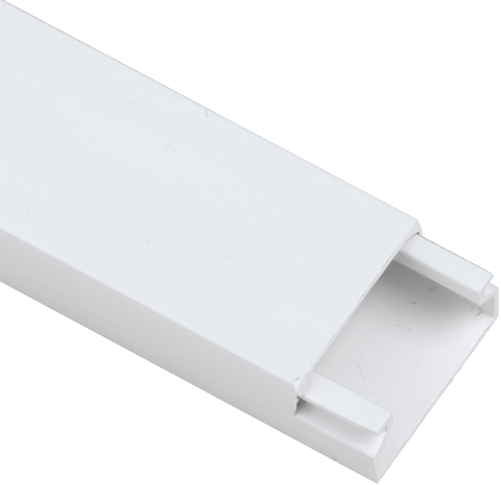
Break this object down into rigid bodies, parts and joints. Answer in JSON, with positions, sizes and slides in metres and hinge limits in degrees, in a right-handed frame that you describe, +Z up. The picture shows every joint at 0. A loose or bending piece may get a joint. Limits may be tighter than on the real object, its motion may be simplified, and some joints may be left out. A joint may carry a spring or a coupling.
{
  "type": "cable trunking",
  "caption": "Rectangular white PVC cable trunking: an open channel base with hooked rails and a clip-on lid that slides along them, drawn back at one end to show the section.",
  "frame": {"origin": "middle of the underside of the base, on the wall or floor that it lies on", "axes": "+X along the trunking towards the end where the lid is drawn back, +Y across it, +Z up through the lid"},
  "size_m": [1.016, 0.0414, 0.02],
  "materials": {
    "white_pvc": "smooth extruded white PVC with a soft sheen"
  },
  "bodies": {
    "base": {"trunking_base": "white_pvc"},
    "lid": {"trunking_lid": "white_pvc"}
  },
  "joints": [
    {"name": "lid_slide", "type": "slide", "parent": "base", "child": "lid", "axis": [1, 0, 0], "range_m": [-0.964, 0.016]}
  ]
}
